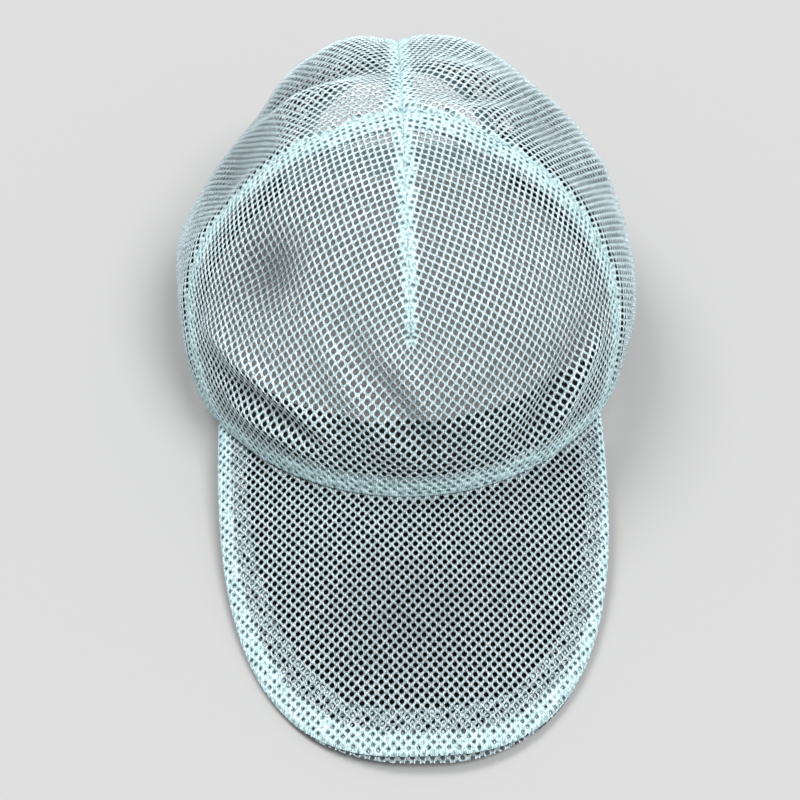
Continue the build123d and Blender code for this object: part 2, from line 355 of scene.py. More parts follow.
def mesh_cells(local, segs):
    """Diamond cells of the staggered lattice that cover a flat outline.

    Gives each cell's centre and depth inside the outline, the points shared by the cells,
    the numbers of the points round each cell and their angles, and, for each point,
    whether it was pulled onto the cut edge.
    """
    lo = local.min(0) - 4
    hi = local.max(0) + 4
    i = np.arange(math.floor(lo[0] / PITCH_X), math.ceil(hi[0] / PITCH_X) + 1)
    j = np.arange(math.floor(lo[1] / PITCH_Y), math.ceil(hi[1] / PITCH_Y) + 1)
    gi, gj = np.meshgrid(i, j)
    grid = np.stack([gi.ravel() * PITCH_X, gj.ravel() * PITCH_Y], -1)
    centres = np.vstack([grid, grid + [PITCH_X / 2, PITCH_Y / 2]])
    depth, _ = signed_distance(centres, local)
    keep = depth > -1.7
    centres, depth = centres[keep], depth[keep]
    corner = np.array([[PITCH_X / 2, 0], [0, PITCH_Y / 2], [-PITCH_X / 2, 0], [0, -PITCH_Y / 2]])
    part = segs // 4
    ring = np.array([corner[c] + (corner[(c + 1) % 4] - corner[c]) * k / part
                     for c in range(4) for k in range(part)])
    angle = np.arctan2(ring[:, 1], ring[:, 0])
    outer = (centres[:, None, :] + ring[None]).reshape(-1, 2)
    key = np.round(outer * 1000).astype(np.int64)
    _, first, inv = np.unique(key, axis=0, return_index=True, return_inverse=True)
    inv = inv.reshape(len(centres), segs)
    pts = outer[first]
    point_depth, near = signed_distance(pts, local)
    edge = point_depth < 0.05
    pts = np.where(edge[:, None], near, pts)
    good = (point_depth[inv] > 0.25).sum(1) >= 2
    return centres[good], depth[good], pts, inv[good], angle, edge


HOLE_MARGIN = 0.28         # cloth left between a hole and the cut edge
INNER_AT_HOLE = 0.42       # how far through the cloth the edge of a hole lies


def knit(name, outline, place, material, segs=12, turn=0.0, shift=(0.0, 0.0), thick=0.26,
         hole_r=HOLE_R, hole_test=None, size_of=None, flip=False, tone_of=None, **kw):
    """A warp-knit mesh sheet: staggered round holes with rounded yarn between them.

    outline is the flat cut, place() lays flat points and their lift in the frame, thick
    is half the cloth's thickness, and turn and shift set how the cloth was laid for cutting.
    """
    rot = np.array([[math.cos(turn), -math.sin(turn)], [math.sin(turn), math.cos(turn)]])
    centres, sd, pts, inv, angle, edge = mesh_cells((outline - np.array(shift)) @ rot, segs)
    part = segs // 4
    holed = sd > hole_r + HOLE_MARGIN
    if hole_test is not None:
        holed &= hole_test(centres @ rot.T + np.array(shift))
    size = np.ones(len(centres))
    if size_of is not None:
        size = size_of(centres @ rot.T + np.array(shift))
        holed &= size > 0.2
    is_corner = np.zeros(len(pts), bool)
    is_corner[inv[:, ::part].ravel()] = True
    rise = np.where(is_corner, thick * 1.15, thick * 0.85) * np.where(edge, 0.0, 1.0)
    nu = len(pts)
    hc = centres[holed]
    jitter = (1.0 + 0.05 * rng.standard_normal(len(hc))) * size[holed]
    circle = np.stack([np.cos(angle), np.sin(angle)], -1)
    rim = (hc[:, None, :] + (hole_r * jitter)[:, None, None] * circle[None]).reshape(-1, 2)
    solid_centre = pts[inv[~holed]].mean(1) if (~holed).any() else np.zeros((0, 2))
    ns = len(solid_centre)
    flat = np.vstack([pts, pts, rim, solid_centre, solid_centre])
    lift = np.concatenate([rise, -rise, np.zeros(len(rim)),
                           np.full(ns, thick), np.full(ns, -thick)])
    # how far a point is through the cloth: 0 on the outer face, 1 on the inner face
    inner = np.concatenate([np.zeros(nu), np.ones(nu), np.full(len(rim), INNER_AT_HOLE),
                            np.zeros(ns), np.ones(ns)])
    ih = inv[holed]
    nh = len(ih)
    r0 = 2 * nu + np.arange(nh)[:, None] * segs + np.arange(segs)[None]
    nxt = np.roll(np.arange(segs), -1)
    top = np.stack([ih, ih[:, nxt], r0[:, nxt], r0], -1).reshape(-1, 4)
    bottom = np.stack([r0, r0[:, nxt], ih[:, nxt] + nu, ih + nu], -1).reshape(-1, 4)
    isolid = inv[~holed]
    c0 = 2 * nu + len(rim) + np.arange(ns)[:, None] + np.zeros(segs, int)[None]
    top3 = np.stack([isolid, isolid[:, nxt], c0], -1).reshape(-1, 3)
    bot3 = np.stack([isolid[:, nxt] + nu, isolid + nu, c0 + ns], -1).reshape(-1, 3)
    faces = top.tolist() + bottom.tolist() + top3.tolist() + bot3.tolist()
    if flip:
        faces = [f[::-1] for f in faces]
    sheet = flat @ rot.T + np.array(shift)
    verts = place(sheet, lift)
    order = np.concatenate([top.ravel(), bottom.ravel(), top3.ravel(), bot3.ravel()])
    under = np.concatenate([np.zeros(top.size), np.ones(bottom.size),
                            np.zeros(top3.size), np.ones(bot3.size)])
    if flip:
        sizes = [4] * (len(top) + len(bottom)) + [3] * (len(top3) + len(bot3))
        starts = np.concatenate([[0], np.cumsum(sizes)[:-1]])
        order = np.concatenate([order[s:s + k][::-1] for s, k in zip(starts, sizes)])
    uv = flat[order]
    extent = (flat.max(0) - flat.min(0)) * 1.02
    bake = (uv - flat.min(0)) / extent * [0.49, 0.98] + 0.005
    bake[:, 0] += under * 0.5
    tone, band = (1.0, 0.0) if tone_of is None else tone_of(sheet)
    tone, band = tone * np.ones(len(verts)), band * np.ones(len(verts))
    new_object(name, verts, faces, material, loops_uv={"Fabric": uv, "OFBake": bake},
               point_values={"inner": inner, "tone": tone, "band": band}, **kw)


# ---- flat patterns of the crown panels ------------------------------------------------------
TOP_V = 0.996              # a panel stops just short of the point where all seams meet


def coons(bottom, left, right, apex, nu, nv):
    """Ball directions over a three-sided patch whose sides meet at the apex."""
    u = np.linspace(0, 1, nu)[None, :, None]
    v = (np.linspace(0, 1, nv) * TOP_V)[:, None, None]
    b = resample(bottom, nu)[None]
    vs = v[:, 0, 0]
    grid_l = np.linspace(0, 1, len(left))
    first = np.stack([np.interp(vs, grid_l, left[:, k]) for k in range(3)], -1)[:, None]
    last = np.stack([np.interp(vs, grid_l, right[:, k]) for k in range(3)], -1)[:, None]
    top = apex[None, None]
    p = (1 - v) * b + v * top + (1 - u) * first + u * last
    p = p - ((1 - u) * (1 - v) * b[:, :1] + u * (1 - v) * b[:, -1:] + v * top)
    return to_ball(p.reshape(-1, 3)).reshape(nv, nu, 3)


CLOTH_MIDDLE = 0.45        # the middle of the cloth lies this far below the dome
UNWRAP_SCALE = 0.01        # only so that the unwrap works on numbers near one
ANGLE_SHARE = 0.55         # the cut is between an angle-true and a stretch-free one


class Pattern:
    """A crown panel and its flattened cut; maps flat points back onto the ball."""

    def __init__(self, front, dirs, faces, outline, up_pair):
        """front tells which bands apply; up_pair are two corners, one above the other."""
        self.dirs = dirs
        self.front = front
        mesh = bpy.data.meshes.new("pattern")
        pts = base_point(dirs)
        mesh.from_pydata([tuple(p * UNWRAP_SCALE) for p in pts], [], faces)
        obj = bpy.data.objects.new("pattern", mesh)
        bpy.context.scene.collection.objects.link(obj)
        bpy.context.view_layer.objects.active = obj
        for o in bpy.context.selected_objects:
            o.select_set(False)
        obj.select_set(True)
        mesh.uv_layers.new(name="UVMap")
        tri = np.array([[f[0], f[k], f[k + 1]] for f in faces for k in range(1, len(f) - 1)])
        e1, e2 = pts[tri[:, 1]] - pts[tri[:, 0]], pts[tri[:, 2]] - pts[tri[:, 0]]
        area = 0.5 * np.linalg.norm(np.cross(e1, e2), axis=1).sum()
        loops = np.zeros(len(mesh.loops), int)
        mesh.loops.foreach_get("vertex_index", loops)
        flats = []
        for method in ("ANGLE_BASED", "MINIMUM_STRETCH"):
            bpy.ops.object.mode_set(mode="EDIT")
            bpy.ops.mesh.select_all(action="SELECT")
            bpy.ops.uv.unwrap(method=method, margin=0.0, iterations=40)
            bpy.ops.object.mode_set(mode="OBJECT")
            raw = np.zeros(len(mesh.loops) * 2)
            mesh.uv_layers[0].data.foreach_get("uv", raw)
            flats.append(self.laid_out(raw.reshape(-1, 2), loops, len(dirs), tri, area, up_pair))
        bpy.data.objects.remove(obj)
        self.uv = ANGLE_SHARE * flats[0] + (1 - ANGLE_SHARE) * flats[1]
        self.tri = tri
        self.outline = self.uv[outline]
        self.tree = BVHTree.FromPolygons([(x, y, 0.0) for x, y in self.uv], tri.tolist())

    @staticmethod
    def laid_out(raw, loops, count, tri, area, up_pair):
        """Give an unwrap its true size, grain upright, starting at the middle of the hem."""
        uv = np.zeros((count, 2))
        uv[loops] = raw
        f1, f2 = uv[tri[:, 1]] - uv[tri[:, 0]], uv[tri[:, 2]] - uv[tri[:, 0]]
        cross = 0.5 * (f1[:, 0] * f2[:, 1] - f1[:, 1] * f2[:, 0])
        if cross.sum() < 0:
            uv[:, 0] *= -1
        uv *= math.sqrt(area / abs(cross.sum()))
        a, b = up_pair
        d = uv[b] - uv[a]
        th = math.pi / 2 - math.atan2(d[1], d[0])
        r = np.array([[math.cos(th), -math.sin(th)], [math.sin(th), math.cos(th)]])
        return (uv - uv[a]) @ r.T

    def ball(self, flat):
        """Ball directions of flat points, by their weights in the pattern's triangles."""
        idx = np.zeros(len(flat), int)
        loc = np.zeros((len(flat), 2))
        for k, (x, y) in enumerate(flat):
            hit = self.tree.find_nearest(Vector((x, y, 0.0)))
            loc[k] = hit[0][:2]
            idx[k] = hit[2]
        t = self.tri[idx]
        a, b, c = self.uv[t[:, 0]], self.uv[t[:, 1]], self.uv[t[:, 2]]
        v0, v1, v2 = b - a, c - a, loc - a
        den = v0[:, 0] * v1[:, 1] - v1[:, 0] * v0[:, 1]
        den = np.where(np.abs(den) < 1e-12, 1e-12, den)
        wb = (v2[:, 0] * v1[:, 1] - v1[:, 0] * v2[:, 1]) / den
        wc = (v0[:, 0] * v2[:, 1] - v2[:, 0] * v0[:, 1]) / den
        wa = 1 - wb - wc
        corners = self.dirs[t]
        weights = np.stack([wa, wb, wc], -1)[:, :, None]
        return unit((corners * weights).sum(1))

    def place(self, flat, lift):
        return crown(self.ball(flat), lift - CLOTH_MIDDLE)

    # painted shade of the crown, weaker over the doubled cloth of the bands
    def tone(self, flat):
        p = base_point(self.ball(flat))
        shade = crown_painted_shade(p)
        band = np.clip(in_bands(p, self.front) * 6, 0, 1)
        return shade * (1 - band) + band * (0.95 + 0.4 * (shade - 1)), band

    def hole_size(self, flat):
        return band_hole_size(in_bands(base_point(self.ball(flat)), self.front), 31)


def grid_faces(nv, nu, base, flip):
    """Quads of an nv by nu grid of points that starts at point number base."""
    out = []
    for r in range(nv - 1):
        for c in range(nu - 1):
            a = base + r * nu + c
            q = [a, a + 1, a + nu + 1, a + nu]
            out.append(q[::-1] if flip else q)
    return out


def front_pattern():
    """The front panel: two halves, welded down the middle up to the tip of the dart."""
    nu, nv = 40, 64
    hem_end = plan_angle(SEAM[1][0]), plan_angle(SEAM[-1][0])
    centre = resample(base_point(to_ball(np.array(
        [[0, HEM_Y, HEM_Z], [0, -97, 35], [0, -92, 50], [0, -84, 63], [0, -74.5, 70], [0, -62, 80],
         [0, -45, 89.5], [0, -20, 98], APEX]))), 200)
    step = np.linalg.norm(np.diff(centre, axis=0), axis=1)
    s = np.concatenate([[0], np.cumsum(step)]) / step.sum()
    tip_v = s[np.argmin(np.linalg.norm(centre - DART_TIP, axis=1))]
    tip_row = int(round(tip_v / TOP_V * (nv - 1)))
    right = coons(rim_line(0, hem_end[0], nu), resample(centre, 90), SEAM[1], APEX, nu, nv)
    left = coons(rim_line(0, hem_end[1], nu), resample(centre, 90), SEAM[-1], APEX, nu, nv)
    dirs = np.vstack([right.reshape(-1, 3), left.reshape(-1, 3)])
    n = nu * nv
    faces = grid_faces(nv, nu, 0, False) + grid_faces(nv, nu, n, True)
    weld = {n + r * nu: r * nu for r in range(tip_row + 1)}
    faces = [[weld.get(i, i) for i in f] for f in faces]
    used = sorted({i for f in faces for i in f})
    new = {i: k for k, i in enumerate(used)}
    faces = [[new[i] for i in f] for f in faces]
    dirs = dirs[used]
    loop = [r * nu for r in range(tip_row, nv)]
    loop += [(nv - 1) * nu + c for c in range(1, nu)]
    loop += [r * nu + nu - 1 for r in range(nv - 2, -1, -1)]
    loop += [c for c in range(nu - 2, -1, -1)]
    loop += [n + c for c in range(1, nu)]
    loop += [n + r * nu + nu - 1 for r in range(1, nv)]
    loop += [n + (nv - 1) * nu + c for c in range(nu - 2, -1, -1)]
    loop += [n + r * nu for r in range(nv - 2, tip_row, -1)]
    loop = [new[weld.get(i, i)] for i in loop]
    return Pattern(True, dirs, faces, loop, (new[0], new[10 * nu]))


def opening_edge(side, extra=0.0, count=40):
    """The arched edge of the rear opening, from the rim up to the centre back."""
    out = []
    for a in np.linspace(0.0, math.pi / 2, count):
        x = side * (OPEN_HALF + extra) * math.cos(a)
        z = (OPEN_HEIGHT + extra) * math.sin(a)
        zu = (z - BULGE_Z) / (STRETCH[2] * BALL_R)
        xu = x / (STRETCH[0] * BALL_R)
        y = STRETCH[1] * BALL_R * math.sqrt(1 - zu * zu - xu * xu) + LEAN * z
        out.append([x, y, z])
    return np.array(out)


def rear_pattern(side):
    """A rear panel: from the side seam round to the opening and the centre back."""
    nu, nv = 64, 56
    edge = opening_edge(side, 1.2)
    rim = rim_line(plan_angle(SEAM[side][0]), plan_angle(edge[0]), 60)
    bottom = np.vstack([rim, edge[1:]])
    back = resample(base_point(to_ball(np.linspace(edge[-1], APEX, 60))), 90)
    dirs = coons(bottom, SEAM[side], back, APEX, nu, nv)
    flip = side < 0
    faces = grid_faces(nv, nu, 0, flip)
    loop = [c for c in range(nu)] + [r * nu + nu - 1 for r in range(1, nv)]
    loop += [(nv - 1) * nu + c for c in range(nu - 2, -1, -1)]
    loop += [r * nu for r in range(nv - 2, 0, -1)]
    mid = nu // 3
    return Pattern(False, dirs.reshape(-1, 3), faces, loop, (mid, 8 * nu + mid))


# ---- materials --------------------------------------------------------------------------------
def material(name, rough=0.8):
    m = bpy.data.materials.new(name)
    m.use_nodes = True
    nt = m.node_tree
    bsdf = nt.nodes["Principled BSDF"]
    bsdf.inputs["Roughness"].default_value = rough
    bsdf.inputs["Specular IOR Level"].default_value = 0.3
    return m, nt, bsdf


def math_node(nt, op, a, b=None):
    n = nt.nodes.new("ShaderNodeMath")
    n.operation = op
    for k, v in enumerate((a, b)):
        if v is None:
            continue
        if isinstance(v, (int, float)):
            n.inputs[k].default_value = v
        else:
            nt.links.new(v, n.inputs[k])
    return n.outputs[0]


def ramp(nt, fac, stops):
    n = nt.nodes.new("ShaderNodeValToRGB")
    el = n.color_ramp.elements
    while len(el) < len(stops):
        el.new(0.5)
    for e, (pos, col) in zip(el, stops):
        e.position = pos
        e.color = (*col, 1)
    nt.links.new(fac, n.inputs[0])
    return n.outputs[0]


def mix(nt, fac, a, b, kind="MIX"):
    n = nt.nodes.new("ShaderNodeMix")
    n.data_type = "RGBA"
    n.blend_type = kind
    for sock, v in ((n.inputs[0], fac), (n.inputs[6], a), (n.inputs[7], b)):
        if isinstance(v, (int, float)):
            sock.default_value = v
        elif isinstance(v, tuple):
            sock.default_value = (*v, 1)
        else:
            nt.links.new(v, sock)
    return n.outputs[2]


# BRIGHT is partly painted highlight on the tops of the yarn; DULL is painted shade at the edges of
# the holes, and also darkens the thin yarn above and below them.
PALE = (0.40, 0.48, 0.51)
BRIGHT = (0.84, 0.95, 0.97)
DULL = (0.09, 0.11, 0.12)
WHITE = (1.0, 1.0, 1.0)
RING_SIZE = 1.8            # millimetres from a hole's centre that count as 1


def attribute(nt, name):
    n = nt.nodes.new("ShaderNodeAttribute")
    n.attribute_name = name
    return n.outputs["Fac"]


def noise_texture(nt, vector, scale, detail=2.0):
    n = nt.nodes.new("ShaderNodeTexNoise")
    n.inputs["Scale"].default_value = scale
    n.inputs["Detail"].default_value = detail
    nt.links.new(vector, n.inputs["Vector"])
    return n.outputs[0]


def add_bump(nt, bsdf, height, strength, distance):
    bump = nt.nodes.new("ShaderNodeBump")
    bump.inputs["Strength"].default_value = strength
    bump.inputs["Distance"].default_value = distance
    nt.links.new(height, bump.inputs["Height"])
    nt.links.new(bump.outputs[0], bsdf.inputs["Normal"])


def hole_distance(nt, uv):
    """Distance to the nearest hole's centre, and 1 beside the hole down to 0 above it."""
    sep = nt.nodes.new("ShaderNodeSeparateXYZ")
    nt.links.new(uv, sep.inputs[0])

    def row(offset):
        apart = []
        for value, pitch in ((sep.outputs[0], PITCH_X), (sep.outputs[1], PITCH_Y)):
            cell = math_node(nt, "ADD", math_node(nt, "DIVIDE", value, pitch), offset)
            cell = math_node(nt, "SUBTRACT", math_node(nt, "FRACT", cell), 0.5)
            apart.append(math_node(nt, "MULTIPLY", cell, pitch))
        across = math_node(nt, "MULTIPLY", apart[0], apart[0])
        total = math_node(nt, "ADD", across, math_node(nt, "MULTIPLY", apart[1], apart[1]))
        beside = math_node(nt, "DIVIDE", across, math_node(nt, "MAXIMUM", total, 0.01))
        return math_node(nt, "SQRT", total), beside

    near_a, beside_a = row(0.5)
    near_b, beside_b = row(0.0)
    first = math_node(nt, "LESS_THAN", near_a, near_b)
    return math_node(nt, "MINIMUM", near_a, near_b), mix(nt, first, beside_b, beside_a)


def mesh_material(name, inner_shade):
    """Mint warp knit: bright yarn beside the holes, thinner yarn above and below them; the yarn's
    bright tops are partly painted highlight and its dark edges at the holes are painted shade.
    """
    m, nt, bsdf = material(name, 0.72)
    uv = nt.nodes.new("ShaderNodeUVMap")
    uv.uv_map = "Fabric"
    uv = uv.outputs[0]
    distance, beside = hole_distance(nt, uv)
    ring = math_node(nt, "DIVIDE", distance, RING_SIZE)
    strong = ramp(nt, ring, [(0.42, DULL), (0.50, BRIGHT), (0.60, BRIGHT), (0.70, PALE),
                             (0.85, BRIGHT), (0.97, PALE)])
    weak = ramp(nt, ring, [(0.42, DULL), (0.52, PALE), (0.66, PALE),
                           (0.80, (0.34, 0.42, 0.44)), (0.97, DULL)])
    yarn = mix(nt, beside, weak, strong)
    # over doubled cloth the pattern is soft, because pale cloth shows through the holes; it stays
    # darker round the holes and where a hole is shut, painted shade
    band = attribute(nt, "band")
    soft = ramp(nt, ring, [(0.05, (0.34, 0.44, 0.44)), (0.26, (0.50, 0.66, 0.68)),
                           (0.6, (0.64, 0.84, 0.87)), (0.9, (0.50, 0.67, 0.70))])
    yarn = mix(nt, math_node(nt, "MULTIPLY", band, 0.8), yarn, soft)
    wave = nt.nodes.new("ShaderNodeTexWave")
    wave.wave_type = "BANDS"
    wave.bands_direction = "X"
    wave.inputs["Scale"].default_value = 0.55
    wave.inputs["Distortion"].default_value = 7.0
    wave.inputs["Detail"].default_value = 3.0
    wave.inputs["Detail Scale"].default_value = 1.8
    nt.links.new(uv, wave.inputs[0])
    threads = ramp(nt, wave.outputs[1], [(0.05, (0.50, 0.54, 0.56)), (0.42, (0.90, 0.92, 0.93)),
                                         (0.8, (1.18, 1.20, 1.20))])
    specks = ramp(nt, noise_texture(nt, uv, 1.1, 1.0),
                  [(0.36, (0.66, 0.69, 0.70)), (0.50, WHITE), (0.66, (1.15, 1.16, 1.16))])
    threads = mix(nt, 1.0, threads, specks, "MULTIPLY")
    patch = ramp(nt, noise_texture(nt, uv, 0.16), [(0.3, (0.80, 0.83, 0.84)), (0.7, WHITE)])
    col = mix(nt, 1.0, mix(nt, 1.0, yarn, threads, "MULTIPLY"), patch, "MULTIPLY")
    # painted shade: the inner face of the cloth and the walls of the holes are darkened, as the
    # inside lies in shade; less so over the doubled cloth
    dark = ramp(nt, attribute(nt, "inner"),
                [(0.28, WHITE), (0.42, (0.42, 0.45, 0.47)), (0.54, inner_shade)])
    share = math_node(nt, "SUBTRACT", 1.0, math_node(nt, "MULTIPLY", band, 0.85))
    col = mix(nt, share, col, dark, "MULTIPLY")
    # painted shade held in each point's tone: hollows, low parts, the middle of the brim
    tone = attribute(nt, "tone")
    grey = nt.nodes.new("ShaderNodeCombineColor")
    for k in range(3):
        nt.links.new(tone, grey.inputs[k])
    col = mix(nt, 1.0, col, grey.outputs[0], "MULTIPLY")
    nt.links.new(col, bsdf.inputs["Base Color"])
    add_bump(nt, bsdf, wave.outputs[1], 0.35, 0.0002)
    return m


def tape_material(name, base, scale=900.0, strength=0.35):
    """Plain close knit for seam allowances, tapes and the sweatband."""
    m, nt, bsdf = material(name, 0.85)
    where = nt.nodes.new("ShaderNodeTexCoord").outputs["Object"]
    loops = nt.nodes.new("ShaderNodeTexVoronoi")
    loops.inputs["Scale"].default_value = scale
    nt.links.new(where, loops.inputs["Vector"])
    knots = ramp(nt, loops.outputs["Distance"], [(0.1, WHITE), (0.7, (0.80, 0.83, 0.84))])
    cloud = ramp(nt, noise_texture(nt, where, 160.0), [(0.35, (0.84, 0.87, 0.88)), (0.65, WHITE)])
    col = mix(nt, 1.0, mix(nt, 1.0, base, knots, "MULTIPLY"), cloud, "MULTIPLY")
    nt.links.new(col, bsdf.inputs["Base Color"])
    add_bump(nt, bsdf, loops.outputs["Distance"], strength, 0.0003)
    return m


def plastic_material(name, base, rough, shine=0.3):
    """Moulded plastic with a faint grain."""
    m, nt, bsdf = material(name, rough)
    bsdf.inputs["Specular IOR Level"].default_value = shine
    where = nt.nodes.new("ShaderNodeTexCoord").outputs["Object"]
    grain = noise_texture(nt, where, 350.0)
    low = tuple(0.9 * c for c in base)
    nt.links.new(ramp(nt, grain, [(0.3, low), (0.7, base)]), bsdf.inputs["Base Color"])
    add_bump(nt, bsdf, grain, 0.12, 0.0002)
    return m


# the second value is the painted shade on the cloth's inner face: near black in the crown and top
# cover, milder in the lower layers
KNIT = mesh_material("mint_mesh", (0.025, 0.027, 0.03))
KNIT_UNDER = mesh_material("mint_mesh_under", (0.6, 0.6, 0.6))
TAPE = tape_material("mint_allowance", (0.70, 0.90, 0.92))
BIND = tape_material("mint_binding", (0.66, 0.86, 0.88), scale=1500.0)
SWEAT = tape_material("charcoal_sweatband", (0.022, 0.024, 0.027), scale=1100.0)
BOARD = plastic_material("black_board", (0.003, 0.003, 0.0035), 0.95, shine=0.05)
STRAP = plastic_material("mint_plastic", (0.62, 0.80, 0.82), 0.35)


# ---- swept strips ------------------------------------------------------------------------------
def sweep(name, path, profile, mat, wobble=None, **kw):
    """Sweep a closed profile (across, lift) along a path on the crown."""
    n = to_ball(path)
    p = base_point(n)
    tangent = unit(np.gradient(p, axis=0))
    across = unit(np.cross(base_normal(n), tangent))
    rows = []
    count = len(profile)
    for k, (w, lift) in enumerate(profile):
        width = w if wobble is None else w * wobble
        q = p + across * (width[:, None] if np.ndim(width) else width)
        rows.append(crown(to_ball(q), np.full(len(p), lift)))
    verts = np.stack(rows, 1).reshape(-1, 3)
    faces = []
    m = len(p)
    for i in range(m - 1):
        for k in range(count):
            k2 = (k + 1) % count
            faces.append([i * count + k, i * count + k2, (i + 1) * count + k2, (i + 1) * count + k])
    faces.append(list(range(count))[::-1])
    faces.append([(m - 1) * count + k for k in range(count)])
    new_object(name, verts, faces, mat, **kw)


def band_profile(w0, w1, lift, thick, count=7):
    """A flat strip: where it starts and ends across, its upper face and its thickness."""
    top = [(w, lift) for w in np.linspace(w0, w1, count)]
    low = [(w, lift - thick) for w in np.linspace(w1, w0, count)]
    return top + low


def raw_edge(count, amount, seed):
    """Width factors of a strip with an unevenly cut edge."""
    r = np.random.default_rng(seed).standard_normal(count)
    r = np.convolve(r, np.ones(5) / 5, mode="same")
    return 1.0 + amount * r


# ---- crown --------------------------------------------------------------------------------------
FRONT = front_pattern()
knit("front_mesh", FRONT.outline, FRONT.place, KNIT, thick=CROWN_HALF_THICK,
     tone_of=FRONT.tone, size_of=FRONT.hole_size, stands_for=("front_panel",), slot="mesh")
for side, word in ((-1, "left"), (1, "right")):
    pattern = rear_pattern(side)
    knit(f"rear_{word}_mesh", pattern.outline, pattern.place, KNIT, thick=CROWN_HALF_THICK,
         turn=side * 0.12, tone_of=pattern.tone, size_of=pattern.hole_size,
         stands_for=(f"rear_{word}_panel",), slot="mesh")
    sweep(f"side_allowance_{word}", SEAM[side], band_profile(-0.6 * side, 8.6 * side, -1.05, 0.7),
          TAPE, wobble=raw_edge(len(SEAM[side]), 0.10, 3 + side),
          stands_for=(f"side_seam_tape_{word}",), slot="mesh")

# Allowances and tapes: pale strips that lie just under the mesh.
dart_line = resample(DART, 60)
taper = np.linspace(1.0, 0.35, 60)
sweep("dart_allowance", dart_line, band_profile(-3.4, 3.4, -1.0, 0.6), TAPE,
      wobble=taper * raw_edge(60, 0.06, 9), stands_for=("front_dart_tape",), slot="mesh")
back_line = np.linspace(APEX + [0, 2, 0], opening_edge(1, 3.0)[-1], 40)
back_line = resample(base_point(to_ball(back_line)), 60)
sweep("back_allowance", back_line, band_profile(-4.4, 4.4, -1.1, 0.6), TAPE,
      wobble=raw_edge(60, 0.06, 11), stands_for=("back_seam_tape",), slot="mesh")

edge_r, edge_l = opening_edge(1), opening_edge(-1)
rim_full = rim_line(plan_angle(edge_l[0]) + 0.05, plan_angle(edge_r[0]) - 0.05, 240)
sweep("rim_allowance", rim_full, band_profile(0.2, 8.2, -1.15, 0.6), TAPE,
      wobble=raw_edge(240, 0.05, 13), stands_for=("rim_tape",), slot="mesh")
# The sweatband: a padded strip standing up from the rim, short of the opening's ends.
sweat_w = np.linspace(1.0, 29.4, 14)
sweat_puff = 0.18 * np.sin(math.pi * (sweat_w - 1) / 28.4)
sweat_profile = [(w, -2.45 + q) for w, q in zip(sweat_w, sweat_puff)]
sweat_profile += [(30.1, -2.8), (30.1, -3.4)]
sweat_profile += [(w, -3.75 - q) for w, q in zip(sweat_w[::-1], sweat_puff)]
sweat_profile += [(0.5, -3.4), (0.5, -2.8)]
sweat_line = rim_line(plan_angle(edge_l[0]) + 0.12, plan_angle(edge_r[0]) - 0.12, 240)
sweep("sweatband_soft", sweat_line, sweat_profile, SWEAT,
      stands_for=("sweatband",), slot="sweatband")

arch = np.vstack([edge_l, edge_r[::-1][1:]])
arch = resample(arch, 120)
# Section of the binding: a tape folded over the cut edge, both legs 4.6 mm long.
bind_profile = [(-4.6, 0.50), (-2.5, 0.62), (-0.6, 0.58), (0.5, 0.15), (0.9, -0.6), (0.5, -1.35),
                (-0.6, -1.75), (-2.5, -1.8), (-4.6, -1.65), (-4.6, -1.15), (-1.2, -1.2),
                (-0.9, -0.5), (-1.2, 0.05), (-4.6, 0.02)]
sweep("opening_binding_soft", arch, bind_profile, BIND,
      stands_for=("opening_binding",), slot="binding")


# ---- brim ---------------------------------------------------------------------------------------
def brim_point(flat, depth):
    """Flat (s, g) on the brim's cylinder to the frame; depth below the top face."""
    s, g = flat[:, 0], flat[:, 1]
    r = ARCH_R - depth
    x = r * np.sin(s / ARCH_R)
    zl = r * np.cos(s / ARCH_R) - ARCH_R
    yl = -g
    c, sn = math.cos(SLOPE), math.sin(SLOPE)
    return np.stack([x, HEM_Y + yl * c - zl * sn, HEM_Z + yl * sn + zl * c], -1)


def brim_flat(x, y):
    """The inverse of brim_point, for a point given in plan."""
    s = ARCH_R * np.arcsin(x / ARCH_R)
    zl = ARCH_R * np.cos(s / ARCH_R) - ARCH_R
    g = -((y - HEM_Y) + zl * math.sin(SLOPE)) / math.cos(SLOPE)
    return np.stack([s, g], -1)


EDGE_POINTS = 120
RIM_HALF_WIDTH = 84.0      # of the crown where the brim meets it
BRIM_LIP = 2.2             # the covers turn towards each other over this width
TOP_DEPTH, ALLOWANCE_DEPTH, UNDER_DEPTH = 0.3, 1.05, 2.6


def brim_outline(margin, count=EDGE_POINTS, front_extra=0.0):
    """The flat brim: its free edge first, then the curve of the crown's hem."""
    a = np.linspace(0, math.pi, count)
    half, reach = BRIM_HALF - margin, BRIM_BACK_Y - BRIM_TIP_Y - margin
    x = half * np.sign(np.cos(a)) * np.abs(np.cos(a)) ** (2 / BRIM_POWER)
    y = BRIM_BACK_Y - reach * np.abs(np.sin(a)) ** (2 / BRIM_POWER)
    y = y - front_extra * np.exp(-((x - 4) / 30) ** 2)
    front = np.stack([x, y], -1)
    ang = np.linspace(-1, 1, 60) * math.asin(0.985 * half / RIM_HALF_WIDTH)
    hem = []
    for t in ang:
        p = rim_line(t, t, 1)[0]
        hem.append((p - base_normal(to_ball(p[None]))[0])[:2])
    return brim_flat(*np.vstack([front, hem]).T)


OUT = brim_outline(0.0)
FREE_EDGE = OUT[:EDGE_POINTS]


def from_free_edge(flat):
    return distance_to_line(flat, FREE_EDGE)[0]


def top_place(flat, lift):
    """The upper cover; near the edge it turns down to meet the lower one."""
    turn_in = np.clip(1 - from_free_edge(flat) / BRIM_LIP, 0, 1) ** 2
    return brim_point(flat, TOP_DEPTH - lift + 1.1 * turn_in)


